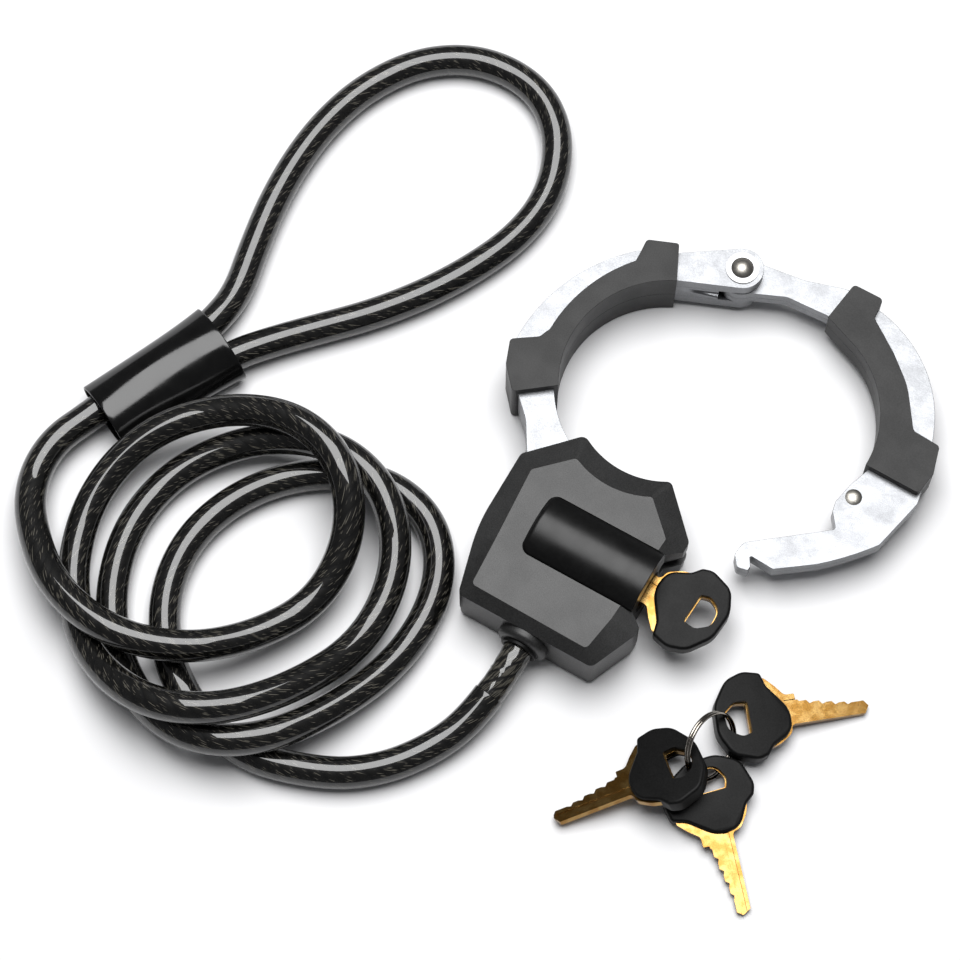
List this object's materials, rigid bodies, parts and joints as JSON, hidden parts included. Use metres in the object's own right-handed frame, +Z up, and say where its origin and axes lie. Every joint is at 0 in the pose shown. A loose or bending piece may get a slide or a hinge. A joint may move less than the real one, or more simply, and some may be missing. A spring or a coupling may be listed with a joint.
{
  "type": "keyed cuff lock with cable",
  "caption": "Hinged steel cuff lock with a keyed pin-tumbler body, a looped-end jacketed steel cable and spare keys on a ring",
  "frame": {"origin": "on the flat underside of the lock body, below the crossing of the key axis and the centre line of the cuff", "axes": "+X along the key axis out of the keyway, +Y from the lock body to the cuff's pivot, +Z up through the barrel cover"},
  "size_m": [0.2727, 0.262, 0.0306],
  "materials": {
    "body_plastic": "fine matt texture",
    "cover_plastic": "semi-gloss moulded",
    "sleeve_plastic": "glossy shrunk sleeve",
    "arm_steel": "bright plated, fine grain",
    "fastener_steel": "bright plated",
    "case_metal": "die-cast",
    "lock_brass": "machined",
    "key_brass": "bright, milled",
    "rubber_black": "matt moulded",
    "cable_jacket": "clear smoky jacket over twisted steel",
    "ring_steel": "nickel plated",
    "ferrule_metal": "crimped"
  },
  "bodies": {
    "lock_body": {"upper_shell": "body_plastic", "lower_shell": "body_plastic", "barrel_cover": "cover_plastic", "fixed_cover_upper": "cover_plastic", "fixed_cover_lower": "cover_plastic", "case_upper": "case_metal", "case_lower": "case_metal", "case_screws": "fastener_steel", "cylinder_pin": "fastener_steel", "pin_springs": "fastener_steel", "arm_anchor_pins": "fastener_steel", "pivot_rivet": "fastener_steel", "pivot_washers": "fastener_steel", "fixed_arm_rivets": "fastener_steel", "chamber_cover": "fastener_steel", "cylinder_case": "lock_brass", "driver_pins": "lock_brass", "fixed_arm_bottom_plate": "arm_steel", "fixed_arm_middle_plates": "arm_steel", "fixed_arm_top_plate": "arm_steel", "cable_grommet": "rubber_black", "cable_anchor": "ferrule_metal", "crimp_ferrule": "ferrule_metal", "ferrule_sleeve": "sleeve_plastic", "cable_neck": "cable_jacket", "cable_lead": "cable_jacket", "cable_turn_lower": "cable_jacket", "cable_turn_middle": "cable_jacket", "cable_turn_upper": "cable_jacket", "cable_eye": "cable_jacket"},
    "cuff_arm": {"swing_lower_plate": "arm_steel", "swing_upper_plate": "arm_steel", "swing_cover_upper": "cover_plastic", "swing_cover_lower": "cover_plastic", "swing_rivets": "fastener_steel", "hook_rivet": "fastener_steel"},
    "plug_body": {"plug": "lock_brass", "key_pins": "lock_brass", "tail_cam": "fastener_steel", "cam_clip": "fastener_steel"},
    "bolt_body": {"locking_bolt": "fastener_steel"},
    "key_body": {"key_blade": "key_brass", "key_bow": "rubber_black"},
    "spare_keys": {"split_ring": "ring_steel", "spare_key_blade_1": "key_brass", "spare_key_blade_2": "key_brass", "spare_key_blade_3": "key_brass", "spare_key_bow_1": "rubber_black", "spare_key_bow_2": "rubber_black", "spare_key_bow_3": "rubber_black"}
  },
  "joints": [
    {"name": "cuff_swing", "type": "hinge", "parent": "lock_body", "child": "cuff_arm", "pos_m": [0, 0.11, 0.0115], "axis": [0, 0, 1], "range_deg": [-37.3, 60]},
    {"name": "plug_turn", "type": "hinge", "parent": "lock_body", "child": "plug_body", "pos_m": [0.01, 0, 0.0135], "axis": [1, 0, 0], "range_deg": [-90, 0]},
    {"name": "bolt_slide", "type": "slide", "parent": "lock_body", "child": "bolt_body", "axis": [0, 1, 0], "range_m": [0, 0.0035]},
    {"name": "key_slide", "type": "slide", "parent": "plug_body", "child": "key_body", "axis": [1, 0, 0], "range_m": [0, 0.03]},
    {"name": "spare_keys_lift", "type": "slide", "parent": "lock_body", "child": "spare_keys", "axis": [0, 0, 1], "range_m": [0, 0.06]}
  ],
  "couplings": [
    {"joint": "bolt_slide", "follows": "plug_turn", "m_per_rad": -0.002228}
  ]
}
